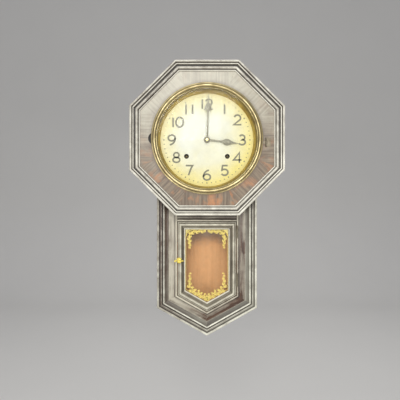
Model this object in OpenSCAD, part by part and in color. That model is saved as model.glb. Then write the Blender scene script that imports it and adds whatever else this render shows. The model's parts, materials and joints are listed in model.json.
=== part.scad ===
// Drop-octagon schoolhouse wall clock, eight-day, striking on a coiled gong.
// Millimetres. +Z is up, -Y is the front, the wall is the plane Y = 0.
// The origin is the centre of the hanger hole, on the wall plane.
// Depths are written as "front" values: the distance forward from the wall, so Y = -front.
// Places on the face and in the movement are measured from the dial centre.

/* [Octagon head] */
// Width of the octagon across its flats
octagon_w = 310; // [306:1:316]
// Radius of the round opening that holds the sight ring
opening_r = 103.4; // [103.2:0.1:104]
// Radius of the dial that shows inside the sight ring
dial_r = 96; // [95:0.5:97]
// Drop from the hanger hole to the dial centre
hanger_drop = 130; // [126:1:134]

/* [Drop case] */
// Width of the drop over its mouldings
drop_w = 206; // [204:1:208]
// Distance from the dial centre down to the side corners of the drop
drop_corner = 346; // [340:1:350]
// Distance from the dial centre down to the tip of the drop
drop_tip = 403.5; // [400:0.5:406]
// Depth of the case from the wall to the front of its stiles
case_depth = 80; // [80:1:82]
// Thickness of the case boards
board_t = 10; // [9:0.5:11]

/* [Doors] */
// Width of the door frame members
door_member = 15.2; // [14:0.2:17]
// Gap all round the door
door_gap = 1.5; // [1.4:0.1:2]

/* [Movement] */
// Teeth of the two great wheels
great_teeth = 72; // [72]
// Teeth of the escape wheel
escape_teeth = 40; // [40]
// Distance from the suspension to the middle of the bob
pendulum_length = 209; // [207:0.5:210]

/* [Hands] */
// Angle of the minute hand, clockwise from twelve
minute_angle = 2; // [0:1:359]
// Angle of the hour hand, clockwise from twelve
hour_angle = 96.7; // [0:0.1:359.9]

/* [Hidden] */
$fn = 96;

dial_z = -hanger_drop;
joint_gap = 0.05;
octagon_half = octagon_w / 2;
octagon_side = octagon_w * tan(22.5);
mitre_octagon = 1 / tan(67.5);
moulding_w = 20;
panel_half = octagon_half - moulding_w - joint_gap;
face_front = case_depth + 24;
dial_back = case_depth + 2;
dial_front = dial_back + 1;

// Drop outline: a pentagon whose lower edges fall to a point
half_w = drop_w / 2;
slope = atan((drop_tip - drop_corner) / half_w);
mitre_corner = 1 / tan((90 + slope) / 2);
mitre_tip = tan(slope);
board_inset = 3;
frame_depth = 12;
stile_front = case_depth;
stile_back = case_depth - frame_depth;
back_board_t = 8;
drop_moulding_w = 24;
drop_moulding_h = 8.1;
opening_half = 61.7;
opening_inset = half_w - opening_half;
stile_w = opening_inset - board_inset;
bead_h = 2;
rail_top = -110;
rail_w = 58.5;
door_inset = opening_inset + door_gap;
door_top = -170;
case_top = hanger_drop - 14;

// Hanger plate and the small hole that steadies the case, low in the back board
hanger_half_w = 15.9;
hanger_plate_h = 44.9;
hanger_plate_t = 2;
hanger_hole_r = 4;
hanger_screws_at = [[-9, -36], [9, -36]];
steady_at = [0, -356];
steady_r = 2.5;

// Finger recess in the face, beside the bezel
recess_x = -106.2;
recess_r = 12.5;
recess_depth = 2;

// Door and bezel hinges
door_axis = [61.9, 84.6];
door_back = 70;
door_depth = 15;
glass_back = 72.8;
glass_front = 75;
glass_rebate = 4.6;
door_knuckle_r = 1.9;
door_hinge_z = [-190, -289];
door_hinge_h = 26;
bezel_axis = [118.6, 106.2];
bezel_knuckle_r = 1.6;
bezel_hinge_h = 17.6;
bezel_hinge_z = -8;
bezel_part_h = 5.6;
bezel_screw_z = 5.5;
door_part_h = 8.4;
leaf_t = 0.8;
door_leaf_t = 0.45;
pin_r = 0.8;
hinge_fit = 0.06;
hook_at = [-57.2, -250];
hook_pin_at = [-64.4, -250.6];
hook_f = 84.6;

// Movement layers, as front values
back_plate_f = 36;
front_plate_f = 66;
plate_t = 2;
great_f = 58;
second_f = 62.6;
upper_f = 50;
pivot_r = 1;
pivot_fit = 0.05;
end_shake = 0.3;
winding_r = 2.5;
winding_square = 3;
spring_f = [42.5, 56];
escape_f = 44;
click_f = great_f + 2.4;
click_pivot = [0, 17.5];
stud_r = 0.8;

// Hands, as front values
hour_hand_f = 86.4;
minute_hand_f = 89.2;
hand_t = 0.7;
cannon_r = 2.3;

// Centres of the arbors, as [x, z] from the dial centre
great_at = [42.2, -33.9];
strike_great_at = [-42.2, -33.9];
centre_at = [0, 0];
second_at = meet(great_at, centre_at, centres(0.9, great_teeth, 12), centres(0.9, 60, 10), 1);
third_x = 22;
third_at = [third_x, meet_height(centre_at, centres(0.7, 80, 8), third_x)];
escape_at = [0, meet_height(third_at, centres(0.6, 78, 8), 0)];
anchor_at = [0, 57];
strike_x = [-31.41, -37.4, -23.4];
strike_second_at =
    [strike_x[0], meet_height(strike_great_at, centres(0.9, great_teeth, 12), strike_x[0])];
strike_third_at = [strike_x[1], meet_height(strike_second_at, centres(0.8, 48, 8), strike_x[1])];
fly_at = [strike_x[2], meet_height(strike_third_at, centres(0.6, 48, 8), strike_x[2])];
hammer_at = [-14, -64];
hammer_head_at = [-48, -108];
minute_wheel_at = centres(0.8, 12, 36) * [-sqrt(0.5), -sqrt(0.5)];
gong_at = [0, -115];
pendulum_f = 27;
rod_r = 1.2;
bob_z = anchor_at[1] - pendulum_length;
bob_r = 24;
escape_r = 15;

// Pitch distance of a meshing pair, and the places that such distances give
function centres(m, a, b) = m * (a + b) / 2;
function meet_height(p, d, x) = p[1] + sqrt(d * d - pow(x - p[0], 2));
function meet(p, q, a, b, side) =
    let (d = norm(q - p), u = (q - p) / d, s = (a * a - b * b + d * d) / (2 * d))
    p + s * u + side * sqrt(a * a - s * s) * [-u[1], u[0]];
function bearing(p, q) = atan2(q[1] - p[1], q[0] - p[0]);

// Points of an arc, of a pentagon offset inward, and of a gear
function arc(cx, cy, r, a0, a1, n = 8) =
    [for (i = [0:n]) let (a = a0 + (a1 - a0) * i / n) [cx + r * cos(a), cy + r * sin(a)]];
function corner(d) = [half_w - d, -drop_corner + d * mitre_corner];
function tip(d) = -drop_tip + d / cos(slope);
function v_length(d) = corner(d)[0] / cos(slope);
function pentagon(d, top) = [
    [-corner(d)[0], top], [-corner(d)[0], corner(d)[1]], [0, tip(d)],
    [corner(d)[0], corner(d)[1]], [corner(d)[0], top]
];
function tooth(radius_root, radius_tip, pitch, root, top, a) = [
    radius_root * [cos(a - pitch * root), sin(a - pitch * root)],
    radius_tip * [cos(a - pitch * top), sin(a - pitch * top)],
    radius_tip * [cos(a + pitch * top), sin(a + pitch * top)],
    radius_root * [cos(a + pitch * root), sin(a + pitch * root)]
];
function gear(m, teeth, phase, add, ded, root, top) = [
    for (i = [0:teeth - 1])
        for (p = tooth(m * (teeth / 2 - ded), m * (teeth / 2 + add), 360 / teeth, root, top,
                       phase + i * 360 / teeth)) p
];
function spiral(r0, r1, turns, steps, t) = concat(
    [for (i = [0:turns * steps]) let (a = 360 * i / steps, r = r0 + (r1 - r0) * i / (turns * steps))
        [r * cos(a), r * sin(a)]],
    [for (i = [turns * steps:-1:0])
        let (a = 360 * i / steps, r = r0 + (r1 - r0) * i / (turns * steps) + t)
        [r * cos(a), r * sin(a)]]
);

// A flat shape in x and z, made thick from one front value to another
module plate(f0, f1) translate([0, -f0, 0]) rotate([90, 0, 0]) linear_extrude(f1 - f0) children();
module rod(f0, f1, r) translate([0, -f0, 0]) rotate([90, 0, 0]) cylinder(h = f1 - f0, r = r);
module turned() rotate([90, 0, 0]) rotate_extrude() children();
module on_face() translate([0, 0, dial_z]) children();
module at(p) translate([p[0], 0, p[1]]) children();

// A length of moulding. Its outer edge runs along +X, its profile is [inward, front],
// and each end is cut so that the inner edge is shorter by k times the width.
module run(length, width, k0, k1, f0, f1, profile) intersection() {
    rotate(180, [1, 0, 1]) linear_extrude(length) polygon(profile);
    plate(f0, f1) polygon([
        [joint_gap, 0], [length - joint_gap, 0],
        [length - joint_gap - k1 * width, width], [joint_gap + k0 * width, width]
    ]);
}
module both_sides() {
    children();
    mirror([1, 0, 0]) children();
}
// The left upright and the left lower edge of the pentagon, as moulding runs
module upright(d, top, width, k0, f0, f1, profile)
    translate([-corner(d)[0], 0, top]) rotate([0, 90, 0])
        run(top - corner(d)[1], width, k0, mitre_corner, f0, f1, profile);
module lower_edge(d, width, f0, f1, profile)
    translate([-corner(d)[0], 0, corner(d)[1]]) rotate([0, slope, 0])
        run(v_length(d), width, mitre_corner, mitre_tip, f0, f1, profile);

function octagon_profile() = let (f = face_front) concat(
    [[0, case_depth], [0, f + 9]], arc(2.4, f + 9.6, 2.4, 180, 0),
    [[5, f + 7.8], [5.4, f + 7.8]], arc(6.8, f + 8, 1.3, 180, 0),
    [[8.3, f + 3.5], [10.8, f + 3.5]], arc(13.7, f + 3.4, 2.8, 180, 0),
    [[16.6, f + 1.8], [17.2, f + 1.8]], arc(18.6, f + 1.7, 1.3, 180, 0),
    [[moulding_w, f], [moulding_w, case_depth]]
);
function drop_profile() = let (f = case_depth) concat(
    [[0, f], [0, f + 5]], arc(2.5, f + 5.5, 2.5, 180, 0),
    [[5.3, f + 4.8], [9.2, f + 4.4], [10.4, f + 4.2], [10.6, f + 2.6], [12, f + 2.6]],
    arc(14.2, f + 3.2, 1.9, 180, 0),
    [for (i = [0:6]) [16.6 + 7.4 * i / 6, f + 0.6 + 2.6 * pow(1 - i / 6, 2)]],
    [[drop_moulding_w, f]]
);
function box_profile(width, f0, f1) = [[0, f0], [0, f1], [width, f1], [width, f0]];
function bead_profile(width) = concat(
    [[width - 4, stile_front - bead_h], [width - 4, stile_front]],
    arc(width - 2, stile_front, 1.9, 180, 0), [[width, stile_front - bead_h]]
);
function door_profile() = concat(
    [[0, door_back], [0, 81.4], [2.3, 81.4]], arc(5.2, 81.6, 2.6, 180, 0),
    [for (i = [0:6]) [8.4 + (door_member - 8.4) * i / 6, 77.4 + 3.4 * pow(1 - i / 6, 2)]],
    [[door_member, glass_front + 0.2], [door_member - 5, glass_front + 0.2],
     [door_member - 5, door_back]]
);

// Case
module pocket() plate(-0.1, hanger_plate_t + 0.02)
    translate([-hanger_half_w - 0.1, -hanger_plate_h - 0.1]) square([2 * hanger_half_w + 0.2, 60]);
module back_board() color([0.48, 0.27, 0.13]) difference() {
    on_face() plate(0, back_board_t) difference() {
        polygon(pentagon(board_inset + board_t + joint_gap, case_top - board_t - joint_gap));
        translate(steady_at) circle(steady_r);
    }
    pocket();
}
module left_side_board() color([0.2, 0.13, 0.09])
    on_face() upright(board_inset, case_top, board_t, 0, 0, stile_back,
                      box_profile(board_t, 0, stile_back));
module right_side_board() color([0.2, 0.13, 0.09]) mirror([1, 0, 0]) left_side_board();
board_half = half_w - board_inset - board_t - joint_gap;
module top_board() color([0.2, 0.13, 0.09]) difference() {
    on_face() {
        plate(0, stile_back) translate([-board_half, case_top - board_t])
            square([2 * board_half, board_t]);
        plate(stile_back - 1, case_depth) translate([-opening_half + 0.1, case_top - board_t])
            square([2 * opening_half - 0.2, board_t]);
    }
    pocket();
}
module bottom_boards() color([0.2, 0.13, 0.09]) on_face() both_sides()
    lower_edge(board_inset, board_t, 0, stile_back, box_profile(board_t, 0, stile_back));
module front_stiles() color([0.27, 0.18, 0.12]) on_face() both_sides() {
    upright(board_inset, case_top, stile_w, 0, stile_back, stile_front,
            box_profile(stile_w, stile_back, stile_front));
    upright(board_inset, -octagon_half - 1, stile_w, 0, stile_front - bead_h, stile_front + bead_h,
            bead_profile(stile_w));
}
module front_rails() color([0.27, 0.18, 0.12]) on_face() {
    both_sides() lower_edge(board_inset, stile_w, stile_back, stile_front,
                            box_profile(stile_w, stile_back, stile_front));
    both_sides() lower_edge(board_inset, stile_w, stile_front - bead_h, stile_front + bead_h,
                            bead_profile(stile_w));
    translate([opening_half, 0, rail_top]) rotate([0, 180, 0]) {
        run(2 * opening_half, rail_w, 0, 0, stile_back, stile_front,
            box_profile(rail_w, stile_back, stile_front));
        run(2 * opening_half, rail_w, 0, 0, stile_front - bead_h, stile_front + bead_h,
            bead_profile(rail_w));
    }
}
module drop_mouldings() color([0.25, 0.17, 0.12]) on_face() both_sides() {
    upright(0, -octagon_half + half_w - octagon_side / 2 - 0.4, drop_moulding_w, 1,
            stile_front, stile_front + drop_moulding_h, drop_profile());
    lower_edge(0, drop_moulding_w, stile_front, stile_front + drop_moulding_h, drop_profile());
}

// Octagon head
module octagon_panel() color([0.36, 0.24, 0.16]) on_face() for (i = [0:7])
    rotate([0, 45 * i, 0]) difference() {
        plate(case_depth, face_front) difference() {
            polygon([
                [-panel_half * tan(22.5) + joint_gap, -panel_half],
                [panel_half * tan(22.5) - joint_gap, -panel_half], [0, -joint_gap / sin(22.5)]
            ]);
            circle(opening_r);
        }
        if (i == 2) at([0, recess_x]) rod(face_front - recess_depth, face_front + 1, recess_r);
    }
module octagon_mouldings() color([0.22, 0.15, 0.11]) on_face()
    for (i = [0:7]) rotate([0, 45 * i, 0]) translate([-octagon_side / 2, 0, -octagon_half])
        run(octagon_side, moulding_w, mitre_octagon, mitre_octagon,
            case_depth, face_front + 13, octagon_profile());
module hanger_plate() color([0.45, 0.44, 0.42]) plate(0, hanger_plate_t) difference() {
    union() {
        translate([-hanger_half_w, -hanger_plate_h]) square([2 * hanger_half_w, hanger_plate_h]);
        circle(hanger_half_w);
    }
    circle(hanger_hole_r);
    for (p = hanger_screws_at) translate(p) circle(2);
}
module hanger_screws() color([0.5, 0.49, 0.46]) for (p = hanger_screws_at) at(p) {
    rod(0.9, 7.5, 1.9);
    rod(0.2, 1, 1.9);
}
module sight_ring() color([0.7, 0.58, 0.28]) on_face() turned() polygon([
    [dial_r, dial_front], [dial_r + 6, face_front - 0.4], [opening_r - 0.2, face_front - 0.4],
    [opening_r - 0.2, face_front - 3], [dial_r + 1.6, dial_front]
]);
module dial_plate() color([0.95, 0.93, 0.82]) on_face() {
    plate(dial_back, dial_front) difference() {
        circle(opening_r - 0.4);
        circle(5.5);
        for (p = [great_at, strike_great_at]) translate(p) circle(5);
    }
    for (x = [-48, 48], z = [-62, 50]) at([x, z]) rod(front_plate_f + plate_t, dial_back, 2);
}

// Glazed bezel
module bezel_ring() color([0.78, 0.64, 0.34]) on_face() {
    turned() polygon(concat(
        [[101.4, face_front + 0.4], [113, face_front + 0.4], [113, face_front + 1.2]],
        arc(106.1, face_front + 2.4, 4, -15, 155, 16),
        [[102.5, face_front + 3.2], [102.5, face_front + 0.9], [101.4, face_front + 0.9]]
    ));
    at([0, bezel_hinge_z]) {
        difference() {
            translate([111, -face_front - 1.4, -bezel_part_h / 2])
                cube([bezel_axis[0] - 111, leaf_t, bezel_part_h]);
            translate([bezel_axis[0], -bezel_axis[1], -4]) cylinder(h = 8, r = 1.2);
        }
        translate([bezel_axis[0], -bezel_axis[1], -bezel_part_h / 2]) difference() {
            cylinder(h = bezel_part_h, r = bezel_knuckle_r);
            translate([0, 0, -1]) cylinder(h = 8, r = pin_r + hinge_fit);
        }
    }
}
module bezel_glass() color([0.8, 0.85, 0.85, 0.35]) on_face()
    rod(face_front + 1, face_front + 3, 102.4);
module bezel_hinge_leaf() color([0.72, 0.58, 0.3]) on_face() at([0, bezel_hinge_z]) {
    for (s = [-1, 1]) translate([bezel_axis[0], -bezel_axis[1], s * 6]) difference() {
        union() {
            translate([0, 0, -bezel_part_h / 2]) cylinder(h = bezel_part_h, r = bezel_knuckle_r);
            translate([0, bezel_axis[1] - face_front - leaf_t, -bezel_part_h / 2])
                cube([4, leaf_t, bezel_part_h]);
        }
        translate([0, 0, -4]) cylinder(h = 8, r = pin_r);
    }
    difference() {
        translate([bezel_axis[0] + 2.6, -face_front - leaf_t, -bezel_hinge_h / 2])
            cube([6.4, leaf_t, bezel_hinge_h]);
        for (z = [-bezel_screw_z, bezel_screw_z])
            at([bezel_axis[0] + 6.2, z]) rod(face_front - 1, face_front + 2, 1);
    }
}
module bezel_hinge_screws() color([0.75, 0.62, 0.32]) on_face()
    for (z = [-bezel_screw_z, bezel_screw_z])
        at([bezel_axis[0] + 6.2, bezel_hinge_z + z]) difference() {
            rod(face_front + leaf_t, face_front + 1.5, 1.9);
            translate([-3, -face_front - 2, -0.25]) cube([6, 0.9, 0.5]);
        }
module hinge_pins() color([0.7, 0.6, 0.36]) on_face() {
    translate([bezel_axis[0], -bezel_axis[1], bezel_hinge_z - bezel_hinge_h / 2 - 0.6])
        cylinder(h = bezel_hinge_h + 1.2, r = pin_r);
    for (z = door_hinge_z)
        translate([door_axis[0], -door_axis[1], z - door_hinge_h / 2 - 0.6])
            cylinder(h = door_hinge_h + 1.2, r = pin_r);
}

// Door of the drop
module door_frame() color([0.24, 0.16, 0.11]) on_face() {
    both_sides() {
        upright(door_inset, door_top, door_member, 1, door_back, door_back + door_depth,
                door_profile());
        lower_edge(door_inset, door_member, door_back, door_back + door_depth, door_profile());
    }
    translate([corner(door_inset)[0], 0, door_top]) rotate([0, 180, 0])
        run(2 * corner(door_inset)[0], door_member, 1, 1, door_back, door_back + door_depth,
            door_profile());
}
module door_glass() color([0.75, 0.8, 0.8, 0.35]) on_face() plate(glass_back, glass_front)
    polygon(pentagon(door_inset + door_member - glass_rebate,
                     door_top - door_member + glass_rebate));
module knuckle(h, bore) difference() {
    translate([0, 0, -h / 2]) cylinder(h = h, r = door_knuckle_r);
    translate([0, 0, -h]) cylinder(h = 2 * h, r = bore);
}
module door_hinge_case_leaves() color([0.74, 0.62, 0.36]) on_face() for (z = door_hinge_z)
    translate([0, 0, z]) {
        for (s = [-1, 1]) translate([0, 0, s * 8.8]) {
            translate([door_axis[0], -door_axis[1], 0]) knuckle(door_part_h, pin_r);
            translate([61.2, -door_axis[1] + 1, -door_part_h / 2])
                cube([door_leaf_t, 3, door_part_h]);
        }
        translate([61.2, -82, -door_hinge_h / 2]) cube([door_leaf_t, 11, door_hinge_h]);
    }
module door_hinge_door_leaves() color([0.74, 0.62, 0.36]) on_face() for (z = door_hinge_z)
    translate([0, 0, z]) {
        translate([door_axis[0], -door_axis[1], 0]) knuckle(door_part_h, pin_r + hinge_fit);
        translate([60.25, -door_axis[1] + 0.2, -door_part_h / 2])
            cube([door_leaf_t, 3.4, door_part_h]);
        translate([60.25, -82, -door_hinge_h / 2]) cube([door_leaf_t, 11, door_hinge_h]);
    }
// The hook turns on a screw in the door and drops over a pin in the stile
module door_hook() color([0.85, 0.7, 0.35]) on_face() at(hook_at) plate(hook_f, hook_f + 1)
    difference() {
        union() {
            circle(2.9);
            translate([-7, -1.1]) square([7, 2.2]);
            translate([-7.2, -0.6]) circle(2.6);
            translate([1.5, -0.8]) square([5.5, 1.6]);
            translate([7.4, 1]) circle(1.5);
            translate([0.2, 3]) circle(1.3);
            translate([0.2, -3]) circle(1.3);
        }
        circle(1.06);
        translate([-7.2, -0.6]) circle(1.4);
        translate([-8.6, -5]) square([2.8, 4.4]);
    }
module door_hook_screw() color([0.8, 0.66, 0.34]) on_face() at(hook_at) {
    rod(80.5, hook_f + 1.4, 1);
    rod(hook_f + 1.4, hook_f + 2.2, 2);
    difference() {
        rod(81.5, hook_f - 0.3, 1.8);
        rod(81, hook_f + 0.4, 1);
    }
}
module door_hook_pin() color([0.8, 0.66, 0.34]) on_face() at(hook_pin_at)
    rod(stile_front + 1, hook_f + 1.8, 1);

// Hands and motion work
// Half widths of a spade up its length, as parts of its width and its length
spade_edge = [
    [0, 0.13], [0.08, 0.28], [0.22, 0.43], [0.4, 0.5], [0.58, 0.45], [0.78, 0.3], [1, 0.16],
    [1.25, 0.08]
];
module spade(reach, base, length, w, stem) {
    edge = concat([for (p = spade_edge) [p[1] * w, base + p[0] * length]], [[0.35, reach]]);
    polygon(concat(edge, [for (i = [len(edge) - 1:-1:0]) [-edge[i][0], edge[i][1]]]));
    polygon([
        [-stem * 1.3, 3], [stem * 1.3, 3], [stem, base + 1], [-stem, base + 1]
    ]);
    translate([0, base - 1]) circle(stem * 1.5);
}
module hour_hand() color([0.12, 0.13, 0.16]) on_face()
    plate(hour_hand_f, hour_hand_f + hand_t) rotate(-hour_angle) difference() {
        union() {
            circle(6.4);
            spade(65.6, 32, 22, 12.8, 1.5);
        }
        circle(4);
    }
module minute_hand() color([0.12, 0.13, 0.16]) on_face()
    plate(minute_hand_f, minute_hand_f + hand_t) rotate(-minute_angle) difference() {
        union() {
            circle(5.4);
            spade(93, 58, 18, 13.6, 1.4);
        }
        circle(cannon_r);
    }
module hand_nut() color([0.75, 0.62, 0.34]) on_face() difference() {
    rod(90, 91.4, 3.4);
    rod(89, 92, cannon_r);
}
module wheel_blank(rim_r, hub_r, spokes) difference() {
    circle(rim_r);
    circle(hub_r);
    for (i = [0:spokes - 1]) rotate(i * 360 / spokes) translate([0, -1.1]) square([rim_r + 2, 2.2]);
}
// A wheel with crossings, toothed towards its pinion with a gap at the bearing
module wheel(m, teeth, f0, t, face_to, hub_r = 4, spokes = 4) plate(f0, f0 + t) difference() {
    polygon(gear(m, teeth, face_to + 180 / teeth, 0.8, 1.3, 0.25, 0.1));
    wheel_blank(m * teeth / 2 - 3.4, hub_r, spokes);
}
module pinion(m, teeth, f0, f1, face_to)
    plate(f0, f1) polygon(gear(m, teeth, face_to, 0.6, 1.25, 0.2, 0.11));
module arbor(r) {
    rod(back_plate_f + end_shake, front_plate_f + plate_t - end_shake, pivot_r);
    rod(back_plate_f + plate_t + end_shake, front_plate_f - end_shake, r);
}
module cannon_pinion() color([0.74, 0.6, 0.3]) on_face() difference() {
    union() {
        pinion(0.8, 12, 69.8, 72.4, bearing(centre_at, minute_wheel_at));
        rod(69.2, 91, cannon_r);
    }
    rod(60, 95, 1.46);
}
module minute_wheel() color([0.76, 0.62, 0.3]) on_face() at(minute_wheel_at) difference() {
    union() {
        wheel(0.8, 36, 70.4, 1.4, bearing(minute_wheel_at, centre_at));
        pinion(0.768, 10, 71.8, 75.6, bearing(minute_wheel_at, centre_at));
    }
    rod(60, 80, 1.26);
}
module hour_wheel() color([0.76, 0.62, 0.3]) on_face() difference() {
    union() {
        wheel(0.768, 40, 73.6, 1.4, bearing(centre_at, minute_wheel_at), 6);
        rod(73.6, hour_hand_f + hand_t, 4);
    }
    rod(60, 95, 2.38);
}

// Movement frame
module movement_outline() difference() {
    translate([-66, -80]) square([132, 148]);
    for (s = [-1, 1]) translate([s * 66, -6]) circle(14);
}
all_pivots = [
    second_at, third_at, escape_at, anchor_at, strike_second_at, strike_third_at, fly_at,
    hammer_at
];
module pivot_holes() for (p = all_pivots) translate(p) circle(pivot_r + pivot_fit);
module front_plate() color([0.8, 0.66, 0.33]) on_face() {
    plate(front_plate_f, front_plate_f + plate_t) difference() {
        movement_outline();
        pivot_holes();
        circle(1.4 + pivot_fit);
        for (p = [great_at, strike_great_at]) translate(p) circle(winding_r + pivot_fit);
    }
    at(minute_wheel_at) rod(front_plate_f + plate_t, 76.4, 1.2);
}
module back_plate() color([0.8, 0.66, 0.33]) on_face()
    plate(back_plate_f, back_plate_f + plate_t) difference() {
        movement_outline();
        pivot_holes();
        circle(pivot_r + pivot_fit);
        for (p = [great_at, strike_great_at]) translate(p) circle(winding_r + pivot_fit);
    }
pillars_at = [[-60, -74], [60, -74], [-56, 60], [56, 60]];
module movement_pillars() color([0.72, 0.58, 0.3]) on_face() for (p = pillars_at) at(p)
    rod(back_plate_f + plate_t, front_plate_f, 3);
module movement_feet() color([0.5, 0.5, 0.5]) on_face()
    for (p = pillars_at) at([p[0] * 0.93, p[1] * 0.93]) rod(8, back_plate_f, 3.5);

// Trains
module great_wheel(p, other) at(p) difference() {
    wheel(0.9, great_teeth, great_f, 2, bearing(p, other), 22, 4);
    rod(great_f - 2, great_f + 4, winding_r + pivot_fit);
}
module winding_arbor(p) at(p) {
    rod(34, 74, winding_r);
    translate([-winding_square / 2, -81, -winding_square / 2])
        cube([winding_square, 8, winding_square]);
    plate(click_f, great_f + 4) polygon([
        for (i = [0:15]) for (k = [0, 1]) (k == 0 ? 12 : 10.2)
            * [cos(-i * 22.5 - k * 3), sin(-i * 22.5 - k * 3)]
    ]);
}
module click(p) at(p) difference() {
    plate(click_f, great_f + 4) {
        translate(click_pivot) circle(2.4);
        polygon([[-1.5, 15.6], [1.2, 19.6], [8.4, 11.8], [7.9, 10.4]]);
    }
    at(click_pivot) rod(great_f, great_f + 6, stud_r + pivot_fit);
}
module click_stud(p) at(p) at(click_pivot) rod(great_f + 1, great_f + 4.4, stud_r);
module mainspring(p) at(p) plate(spring_f[0], spring_f[1]) polygon(spiral(6, 28.6, 6, 20, 1));
module time_great_wheel() color([0.8, 0.66, 0.33]) on_face() {
    great_wheel(great_at, second_at);
    click_stud(great_at);
}
module time_winding_arbor() color([0.6, 0.6, 0.6]) on_face() winding_arbor(great_at);
module time_click() color([0.5, 0.5, 0.52]) on_face() click(great_at);
module time_mainspring() color([0.3, 0.33, 0.4]) on_face() mainspring(great_at);
module time_second_wheel() color([0.78, 0.64, 0.32]) on_face() at(second_at) {
    arbor(1.4);
    pinion(0.9, 12, great_f - 0.6, great_f + 3.2, bearing(second_at, great_at));
    wheel(0.9, 60, second_f, 1.4, bearing(second_at, centre_at));
}
module centre_wheel() color([0.78, 0.64, 0.32]) on_face() {
    rod(back_plate_f + end_shake, 40, pivot_r);
    rod(back_plate_f + plate_t + end_shake, 92, 1.4);
    wheel(0.7, 80, 39, 1.4, bearing(centre_at, third_at));
    pinion(0.9, 10, second_f - 0.6, second_f + 2.4, bearing(centre_at, second_at));
}
module time_third_wheel() color([0.78, 0.64, 0.32]) on_face() at(third_at) {
    arbor(1.3);
    pinion(0.7, 8, 38.6, 41.2, bearing(third_at, centre_at));
    wheel(0.6, 78, upper_f, 1.4, bearing(third_at, escape_at));
}
module escape_wheel() color([0.8, 0.66, 0.33]) on_face() at(escape_at) {
    arbor(1.2);
    pinion(0.6, 8, upper_f - 0.6, upper_f + 2, bearing(escape_at, third_at));
    plate(escape_f, escape_f + 1.2) difference() {
        polygon([
            for (i = [0:escape_teeth - 1]) for (k = [0, 1])
                (k == 0 ? escape_r : escape_r - 1.9)
                    * [cos((i + k * 0.25) * 360 / escape_teeth),
                       sin((i + k * 0.25) * 360 / escape_teeth)]
        ]);
        wheel_blank(escape_r - 3.6, 3.4, 4);
    }
}
// The pallets stand just clear of the escape wheel through the whole swing
module pallet_anchor() color([0.55, 0.56, 0.6]) on_face() {
    at(anchor_at) {
        rod(33, front_plate_f + plate_t - end_shake, pivot_r);
        rod(back_plate_f + plate_t + end_shake, front_plate_f - end_shake, 1.3);
    }
    plate(escape_f - 0.4, escape_f + 1.6) {
        translate(anchor_at) circle(3);
        for (s = [-1, 1]) polygon([
            [0, anchor_at[1] + 2.4], [s * 12.6, escape_at[1] + 15], [s * 13.2, escape_at[1] + 11.6],
            [s * 11.9, escape_at[1] + 12.8], [s * 11, escape_at[1] + 14.6],
            [0, anchor_at[1] - 2.4]
        ]);
    }
}
module crutch() color([0.55, 0.56, 0.6]) on_face() {
    difference() {
        at(anchor_at) rod(33, 35.4, 2.6);
        at(anchor_at) rod(32, 36, pivot_r);
    }
    plate(33.4, 34.8) translate([-0.8, 20]) square([1.6, 35]);
    for (s = [-1, 1]) translate([s * 2.8 - 0.6, -34.8, 18]) cube([1.2, 12.8, 3]);
    translate([-3.4, -34.8, 18]) cube([6.8, 1.4, 3]);
}
module suspension_cock() color([0.76, 0.62, 0.3]) on_face() {
    for (s = [-1, 1]) translate([s * 3 - 2, -30, 56]) cube([4, 7, 8]);
    translate([-6, -back_plate_f, 61.5]) cube([12, back_plate_f - 23, 4.5]);
}
module suspension_spring() color([0.5, 0.55, 0.65]) on_face()
    translate([-0.3, -30, 43]) cube([0.6, 6, 17]);
module pendulum_rod() color([0.7, 0.56, 0.3]) on_face() {
    difference() {
        translate([-1.8, -30.5, 38]) cube([3.6, 7, 6]);
        translate([-0.3, -31, 43]) cube([0.6, 8, 2]);
    }
    translate([0, -pendulum_f, bob_z - 32]) cylinder(h = 70.5 - bob_z, r = rod_r);
}
module pendulum_bob() color([0.85, 0.7, 0.36]) on_face() difference() {
    at([0, bob_z]) turned() polygon([
        for (i = [0:12]) [bob_r * sin(15 * i), pendulum_f - 5 * cos(15 * i)]
    ]);
    translate([0, -pendulum_f, bob_z - 30]) cylinder(h = 60, r = rod_r + 0.08);
}
module rating_nut() color([0.75, 0.62, 0.34]) on_face()
    translate([0, -pendulum_f, bob_z - 28.4]) difference() {
        cylinder(h = 4, r = 4);
        translate([0, 0, -1]) cylinder(h = 6, r = rod_r + 0.08);
    }
module strike_great_wheel() color([0.8, 0.66, 0.33]) on_face() {
    great_wheel(strike_great_at, strike_second_at);
    click_stud(strike_great_at);
}
module strike_winding_arbor() color([0.6, 0.6, 0.6]) on_face() winding_arbor(strike_great_at);
module strike_click() color([0.5, 0.5, 0.52]) on_face() click(strike_great_at);
module strike_mainspring() color([0.3, 0.33, 0.4]) on_face() mainspring(strike_great_at);
module strike_second_wheel() color([0.78, 0.64, 0.32]) on_face() at(strike_second_at) {
    arbor(1.4);
    pinion(0.9, 12, great_f - 0.6, great_f + 3.2, bearing(strike_second_at, strike_great_at));
    wheel(0.8, 48, second_f, 1.4, bearing(strike_second_at, strike_third_at));
}
module strike_third_wheel() color([0.78, 0.64, 0.32]) on_face() at(strike_third_at) {
    arbor(1.3);
    pinion(0.8, 8, second_f - 0.6, second_f + 2.4, bearing(strike_third_at, strike_second_at));
    wheel(0.6, 48, upper_f, 1.4, bearing(strike_third_at, fly_at));
}
module strike_fly() color([0.7, 0.58, 0.3]) on_face() at(fly_at) {
    arbor(1.1);
    pinion(0.6, 8, upper_f - 0.6, upper_f + 2, bearing(fly_at, strike_third_at));
    translate([-9, -64, -0.4]) cube([18, 10, 0.8]);
    rod(54, 64, 1.8);
}
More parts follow.
